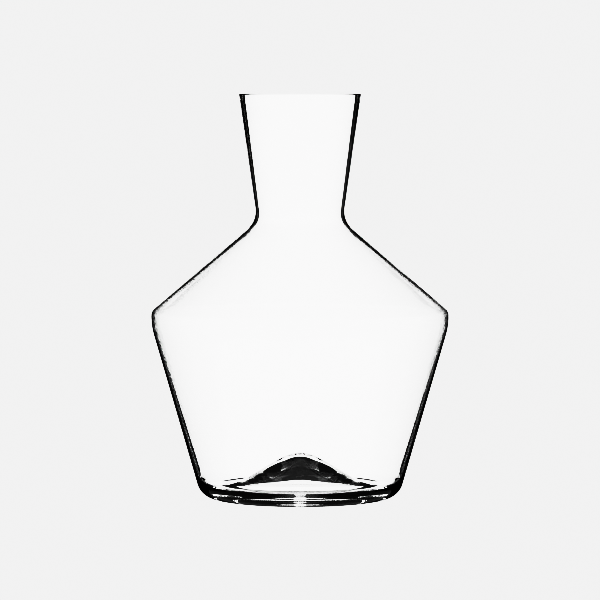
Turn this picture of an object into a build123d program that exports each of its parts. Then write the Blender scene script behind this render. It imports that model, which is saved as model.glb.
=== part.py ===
from build123d import *
import os

# A wine decanter in clear mouth-blown glass, made as glassmakers make it: one vessel, blown
# into a turning mould, cracked off at the rim and fire-polished, with its base pushed up into
# a dome while soft. It has no stopper, so the one solid of revolution is the whole object.
# All lengths are millimetres. A corner is where two straight walls would meet if they were
# not rounded: its distance from the axis, its height above the table and its rounding radius.

# Overall size
height = 240.0
rim_radius = 36.05
belly_radius = 88.3

# Outer face, from the table up
heel_corner = (58.7, 0.0)
heel_rounding = 11.2
belly_lower_height = 102.72
belly_lower_rounding = 37.4
belly_upper_height = 110.92
belly_upper_rounding = 5.2
waist_corner = (25.3, 164.8)
waist_rounding = 13.8

# Wall, measured level: thickest at the mouth and thinnest where the glass was blown widest
mouth_wall = 1.3
belly_wall = 0.65

# Cavity, from the mouth down to the edge of the domed floor
cavity_waist_corner = (24.35, 163.9)
cavity_waist_rounding = 14.9
cavity_shoulder_height = 110.6
cavity_heel_corner = (58.7, 5.6)
cavity_heel_rounding = 9.3
floor_edge = (49.6, 5.6)

# Lip of the mouth
lip_rounding = 0.4

# Dome of the floor inside, and the cone-like hollow that was pushed up under it
dome_height = 26.4
dome_crown_reach = 14.0
dome_foot_reach = 16.0
hollow_radius = 46.3
hollow_height = 20.0
hollow_crown_reach = 5.0
hollow_foot_reach = 0.8

os.makedirs("parts", exist_ok=True)

outer_corners = [
    (heel_corner, heel_rounding),
    ((belly_radius, belly_lower_height), belly_lower_rounding),
    ((belly_radius, belly_upper_height), belly_upper_rounding),
    (waist_corner, waist_rounding),
    ((rim_radius, height), lip_rounding),
]
cavity_radius = belly_radius - belly_wall
cavity_corners = [
    ((rim_radius - mouth_wall, height), lip_rounding),
    (cavity_waist_corner, cavity_waist_rounding),
    ((cavity_radius, cavity_shoulder_height), belly_upper_rounding - belly_wall),
    ((cavity_radius, belly_lower_height), belly_lower_rounding - belly_wall),
    (cavity_heel_corner, cavity_heel_rounding),
]
corners = outer_corners + cavity_corners

with BuildPart() as glass_vessel:
    with BuildSketch(Plane.XZ):
        with BuildLine():
            # Under the base: from the crown of the hollow out to the ring that it stands on
            Bezier(
                (0, hollow_height),
                (hollow_crown_reach, hollow_height),
                (hollow_radius - hollow_foot_reach, 0),
                (hollow_radius, 0),
            )
            # Standing ring, outer face, lip and cavity wall
            FilletPolyline(
                (hollow_radius, 0),
                *[point for point, rounding in corners],
                floor_edge,
                radius=[rounding for point, rounding in corners],
            )
            # Floor of the cavity: from its low rim up to the crown of the dome
            Bezier(
                floor_edge,
                (floor_edge[0] - dome_foot_reach, floor_edge[1]),
                (dome_crown_reach, dome_height),
                (0, dome_height),
            )
            Line((0, dome_height), (0, hollow_height))
        make_face()
    revolve(axis=Axis.Z)

glass_vessel.part.label = "glass_vessel"
export_step(glass_vessel.part, "parts/glass_vessel.step")
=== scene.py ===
import bpy
import math
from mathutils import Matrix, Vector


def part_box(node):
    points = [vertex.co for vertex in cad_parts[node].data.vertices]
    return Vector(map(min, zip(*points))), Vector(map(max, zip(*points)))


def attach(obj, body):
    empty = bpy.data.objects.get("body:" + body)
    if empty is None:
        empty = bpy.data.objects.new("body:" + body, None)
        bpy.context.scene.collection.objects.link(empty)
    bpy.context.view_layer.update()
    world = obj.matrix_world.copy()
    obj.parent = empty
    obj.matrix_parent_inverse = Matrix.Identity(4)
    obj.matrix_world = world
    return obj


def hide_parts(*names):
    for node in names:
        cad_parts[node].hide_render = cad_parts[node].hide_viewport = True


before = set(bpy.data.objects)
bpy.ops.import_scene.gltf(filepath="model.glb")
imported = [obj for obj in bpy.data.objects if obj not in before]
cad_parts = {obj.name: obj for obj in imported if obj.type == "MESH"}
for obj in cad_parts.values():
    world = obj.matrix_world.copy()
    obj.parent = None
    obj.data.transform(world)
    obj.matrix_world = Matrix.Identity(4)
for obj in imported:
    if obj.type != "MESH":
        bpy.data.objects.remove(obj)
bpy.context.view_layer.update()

# A clear mouth-blown wine decanter on a pale table, lit the way glass is photographed: one
# bright card straight behind it in a dark studio, so the wall shows clear in the middle and
# turns to a dark line where it curves away, and a faint glow from below. Metres throughout; a
# corner is where two straight walls would meet if they were not rounded, as (distance from the
# axis, height above table).
MM = 0.001
low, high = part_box("glass_vessel")
HEIGHT = high[2] - low[2]
BELLY_RADIUS = (high[0] - low[0]) / 2

# Outer face, from the table up
RIM_RADIUS = 36.05 * MM
HEEL_CORNER, HEEL_ROUNDING = (58.7 * MM, 0.0), 11.2 * MM
BELLY_LOWER, BELLY_LOWER_ROUNDING = 102.72 * MM, 37.4 * MM
BELLY_UPPER, BELLY_UPPER_ROUNDING = 110.92 * MM, 5.2 * MM
WAIST_CORNER, WAIST_ROUNDING = (25.3 * MM, 164.8 * MM), 13.8 * MM
LIP_ROUNDING = 0.4 * MM

# Cavity
MOUTH_WALL = 1.3 * MM
BELLY_WALL = 0.65 * MM
CAVITY_WAIST_CORNER, CAVITY_WAIST_ROUNDING = (24.35 * MM, 163.9 * MM), 14.9 * MM
CAVITY_SHOULDER_HEIGHT = 110.6 * MM
CAVITY_HEEL_CORNER, CAVITY_HEEL_ROUNDING = (58.7 * MM, 5.6 * MM), 9.3 * MM
FLOOR_EDGE = (49.6 * MM, 5.6 * MM)

# Dome of the floor, and the hollow pushed up under it
DOME_HEIGHT, DOME_CROWN_REACH, DOME_FOOT_REACH = 26.4 * MM, 14.0 * MM, 16.0 * MM
HOLLOW_RADIUS, HOLLOW_HEIGHT = 46.3 * MM, 20.0 * MM
HOLLOW_CROWN_REACH, HOLLOW_FOOT_REACH = 5.0 * MM, 0.8 * MM

# Mesh fineness
SEGMENTS = 480
ARC_STEP = math.radians(7.0)
RUN_STEP = 3.5 * MM
CURVE_STEPS = 30

# Glass, and the faint waviness of its surface: waves per metre along x, y and z, how strongly
# they bend the light (0 to 1), and their depth
GLASS_IOR = 1.52
WAVES_PER_METRE = (14.0, 14.0, 40.0)
WAVE_STRENGTH = 0.2
WAVE_DEPTH = 0.3 * MM

# Camera: a long lens a little above the mouth, looking slightly down
CAMERA_PLACE = (0.0, -2.1625, 0.2487)
CAMERA_PITCH = 0.0605
CAMERA_CLIP_START = 0.01
SENSOR = 36.0
LENS = 218.6

# Light card behind the object, and its reach each way from the line that the camera looks along
CARD_DISTANCE = 1.5
CARD_SIDE = 0.25
CARD_BELOW = 0.76
CARD_ABOVE = 0.24
CARD_STRENGTH = 1.15

# Faint light from below: a wide sheet far under the table
UNDER_REACH = 7.0
UNDER_DEPTH = 4.0
UNDER_GLOW = 0.4

# Table top and backdrop, both equally pale; the table lies just clear of the glass
PALE = 0.5
FLOOR_REACH = 2.0
FLOOR_GAP = 0.5 * MM

# Light paths, sharpness in pixels, and which of the curves acts on all colours together
BOUNCES = 24
FILTER_WIDTH = 1.1
COMBINED_CURVE = 3

# Contrast of the finished picture: scene light in, picture light out
CONTRAST = ((0.0, 0.0), (0.05, 0.004), (0.10, 0.014), (0.15, 0.035), (0.20, 0.10), (0.27, 0.42),
            (0.35, 0.76), (0.50, 0.885), (1.0, 0.953))


def rounded(corners, roundings):
    """The outline through the corners, each inner one replaced by an arc of its radius."""
    line = [corners[0]]
    for before, corner, after, radius in zip(corners, corners[1:], corners[2:], roundings):
        back = math.atan2(before[1] - corner[1], before[0] - corner[0])
        on = math.atan2(after[1] - corner[1], after[0] - corner[0])
        opening = (on - back + math.pi) % math.tau - math.pi
        middle = back + opening / 2
        reach = radius / math.sin(abs(opening) / 2)
        centre = (corner[0] + reach * math.cos(middle), corner[1] + reach * math.sin(middle))
        side = math.copysign(math.pi / 2, opening)
        turn = opening - math.copysign(math.pi, opening)
        steps = max(2, math.ceil(abs(turn) / ARC_STEP))
        for k in range(steps + 1):
            angle = back - side + turn * k / steps
            line.append((centre[0] + radius * math.cos(angle), centre[1] + radius * math.sin(angle)))
    return line + [corners[-1]]


def divided(line):
    """The same line with its long straight runs cut into short ones."""
    points = [line[0]]
    for end in line[1:]:
        start = points[-1]
        pieces = max(1, math.ceil(math.dist(start, end) / RUN_STEP))
        for k in range(1, pieces + 1):
            points.append(tuple(a + (b - a) * k / pieces for a, b in zip(start, end)))
    return points


def bezier(a, b, c, d):
    """Points along a cubic curve from a to d."""
    points = []
    for k in range(CURVE_STEPS + 1):
        t = k / CURVE_STEPS
        s = 1 - t
        weights = (s ** 3, 3 * s * s * t, 3 * s * t * t, t ** 3)
        points.append(tuple(sum(w * p[i] for w, p in zip(weights, (a, b, c, d))) for i in (0, 1)))
    return points


def outline():
    """Half section of the glass, from the crown of the hollow round to the crown of the dome."""
    cavity_radius = BELLY_RADIUS - BELLY_WALL
    corners = [
        (HEEL_CORNER, HEEL_ROUNDING),
        ((BELLY_RADIUS, BELLY_LOWER), BELLY_LOWER_ROUNDING),
        ((BELLY_RADIUS, BELLY_UPPER), BELLY_UPPER_ROUNDING),
        (WAIST_CORNER, WAIST_ROUNDING),
        ((RIM_RADIUS, HEIGHT), LIP_ROUNDING),
        ((RIM_RADIUS - MOUTH_WALL, HEIGHT), LIP_ROUNDING),
        (CAVITY_WAIST_CORNER, CAVITY_WAIST_ROUNDING),
        ((cavity_radius, CAVITY_SHOULDER_HEIGHT), BELLY_UPPER_ROUNDING - BELLY_WALL),
        ((cavity_radius, BELLY_LOWER), BELLY_LOWER_ROUNDING - BELLY_WALL),
        (CAVITY_HEEL_CORNER, CAVITY_HEEL_ROUNDING),
    ]
    ring = (HOLLOW_RADIUS, 0.0)
    hollow = bezier(
        (0.0, HOLLOW_HEIGHT),
        (HOLLOW_CROWN_REACH, HOLLOW_HEIGHT),
        (HOLLOW_RADIUS - HOLLOW_FOOT_REACH, 0.0),
        ring,
    )
    walls = rounded([ring] + [corner for corner, _ in corners] + [FLOOR_EDGE],
                    [rounding for _, rounding in corners])
    dome = bezier(
        FLOOR_EDGE,
        (FLOOR_EDGE[0] - DOME_FOOT_REACH, FLOOR_EDGE[1]),
        (DOME_CROWN_REACH, DOME_HEIGHT),
        (0.0, DOME_HEIGHT),
    )
    return hollow[:-1] + divided(walls) + dome[1:]


def turned(name, line):
    """A closed mesh: the line, whose two ends are on the axis, turned round the Z axis."""
    places = [(0.0, 0.0, line[0][1])]
    for radius, height in line[1:-1]:
        for k in range(SEGMENTS):
            angle = math.tau * k / SEGMENTS
            places.append((radius * math.cos(angle), radius * math.sin(angle), height))
    places.append((0.0, 0.0, line[-1][1]))
    last = len(places) - 1
    rows = len(line) - 2
    faces = []
    for k in range(SEGMENTS):
        following = (k + 1) % SEGMENTS
        faces.append((0, 1 + following, 1 + k))
        for row in range(rows - 1):
            a = 1 + row * SEGMENTS
            b = a + SEGMENTS
            faces.append((a + k, a + following, b + following, b + k))
        top = 1 + (rows - 1) * SEGMENTS
        faces.append((top + k, top + following, last))
    mesh = bpy.data.meshes.new(name)
    mesh.from_pydata(places, [], faces)
    mesh.shade_smooth()
    piece = bpy.data.objects.new(name, mesh)
    bpy.context.scene.collection.objects.link(piece)
    return piece


def clear_glass():
    """Clear soda-lime glass with the faint waviness that blowing in a turning mould leaves."""
    material = bpy.data.materials.new("clear_glass")
    material.use_nodes = True
    nodes, links = material.node_tree.nodes, material.node_tree.links
    shader = nodes["Principled BSDF"]
    shader.inputs["Base Color"].default_value = (1.0, 1.0, 1.0, 1.0)
    shader.inputs["Roughness"].default_value = 0.0
    shader.inputs["IOR"].default_value = GLASS_IOR
    shader.inputs["Transmission Weight"].default_value = 1.0
    place = nodes.new("ShaderNodeTexCoord")
    stretch = nodes.new("ShaderNodeMapping")
    stretch.inputs["Scale"].default_value = WAVES_PER_METRE
    waves = nodes.new("ShaderNodeTexNoise")
    waves.inputs["Scale"].default_value = 1.0
    waves.inputs["Detail"].default_value = 1.0
    bump = nodes.new("ShaderNodeBump")
    bump.inputs["Strength"].default_value = WAVE_STRENGTH
    bump.inputs["Distance"].default_value = WAVE_DEPTH
    links.new(place.outputs["Object"], stretch.inputs["Vector"])
    links.new(stretch.outputs["Vector"], waves.inputs["Vector"])
    links.new(waves.outputs["Fac"], bump.inputs["Height"])
    links.new(bump.outputs["Normal"], shader.inputs["Normal"])
    return material


def glowing(name, strength):
    """A plain white material that gives light."""
    material = bpy.data.materials.new(name)
    material.use_nodes = True
    nodes, links = material.node_tree.nodes, material.node_tree.links
    nodes.clear()
    glow = nodes.new("ShaderNodeEmission")
    glow.inputs["Strength"].default_value = strength
    output = nodes.new("ShaderNodeOutputMaterial")
    links.new(glow.outputs["Emission"], output.inputs["Surface"])
    return material


def rectangle(name, x, y, z, material):
    """A flat four-sided stage piece: x and y are its (low, high) reaches, z its height."""
    mesh = bpy.data.meshes.new(name)
    places = [(x[0], y[0], z), (x[1], y[0], z), (x[1], y[1], z), (x[0], y[1], z)]
    mesh.from_pydata(places, [], [(0, 1, 2, 3)])
    mesh.materials.append(material)
    sheet = bpy.data.objects.new(name, mesh)
    bpy.context.scene.collection.objects.link(sheet)
    return sheet


def add_camera():
    camera = bpy.data.objects.new("camera", bpy.data.cameras.new("camera"))
    camera.data.sensor_width = SENSOR
    camera.data.lens = LENS
    camera.data.clip_start = CAMERA_CLIP_START
    camera.location = CAMERA_PLACE
    camera.rotation_euler = (math.pi / 2 - CAMERA_PITCH, 0.0, 0.0)
    bpy.context.scene.collection.objects.link(camera)
    bpy.context.scene.camera = camera
    return camera


def add_light_card(camera):
    """The card hangs on the camera, so it stays straight behind the object in every view."""
    behind = -CAMERA_PLACE[1] + CARD_DISTANCE
    card = rectangle("light_card", (-CARD_SIDE, CARD_SIDE), (-CARD_BELOW, CARD_ABOVE), -behind,
                     glowing("card_light", CARD_STRENGTH))
    card.parent = camera
    card.visible_camera = False
    card.visible_glossy = False


def add_under_light():
    """Faint light that reaches the base of the glass from all sides below."""
    sides = (-UNDER_REACH, UNDER_REACH)
    under = rectangle("under_glow", sides, sides, -UNDER_DEPTH, glowing("under_light", UNDER_GLOW))
    under.visible_camera = False


def add_floor():
    """A plain pale table top, as bright as the backdrop, that throws no light on the glass."""
    sides = (-FLOOR_REACH, FLOOR_REACH)
    floor = rectangle("floor", sides, sides, -FLOOR_GAP, glowing("pale_table", PALE))
    for ray in ("diffuse", "glossy", "transmission", "volume_scatter", "shadow"):
        setattr(floor, "visible_" + ray, False)


def add_backdrop():
    """The camera sees a plain pale backdrop; the glass sees a dark studio round the card."""
    world = bpy.data.worlds.new("studio")
    world.use_nodes = True
    nodes, links = world.node_tree.nodes, world.node_tree.links
    nodes.clear()
    dark = nodes.new("ShaderNodeBackground")
    dark.inputs["Color"].default_value = (0.0, 0.0, 0.0, 1.0)
    pale = nodes.new("ShaderNodeBackground")
    pale.inputs["Color"].default_value = (PALE, PALE, PALE, 1.0)
    rays = nodes.new("ShaderNodeLightPath")
    mix = nodes.new("ShaderNodeMixShader")
    output = nodes.new("ShaderNodeOutputWorld")
    links.new(rays.outputs["Is Camera Ray"], mix.inputs["Fac"])
    links.new(dark.outputs["Background"], mix.inputs[1])
    links.new(pale.outputs["Background"], mix.inputs[2])
    links.new(mix.outputs["Shader"], output.inputs["Surface"])
    bpy.context.scene.world = world


def set_picture():
    """Enough bounces for light to pass along the wall, and the contrast of a studio print."""
    scene = bpy.context.scene
    scene.cycles.max_bounces = BOUNCES
    scene.cycles.transmission_bounces = BOUNCES
    scene.cycles.glossy_bounces = BOUNCES
    scene.cycles.use_denoising = True
    scene.cycles.filter_width = FILTER_WIDTH
    view = scene.view_settings
    view.view_transform = "Standard"
    view.use_curve_mapping = True
    curve = view.curve_mapping.curves[COMBINED_CURVE]
    curve.points[0].location = CONTRAST[0]
    curve.points[-1].location = CONTRAST[-1]
    for x, y in CONTRAST[1:-1]:
        curve.points.new(x, y)
    for point in curve.points:
        point.handle_type = "VECTOR"
    view.curve_mapping.update()


vessel = turned("decanter_glass", outline())
vessel.data.materials.append(clear_glass())
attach(vessel, "root")
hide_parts("glass_vessel")

add_light_card(add_camera())
add_under_light()
add_floor()
add_backdrop()
set_picture()
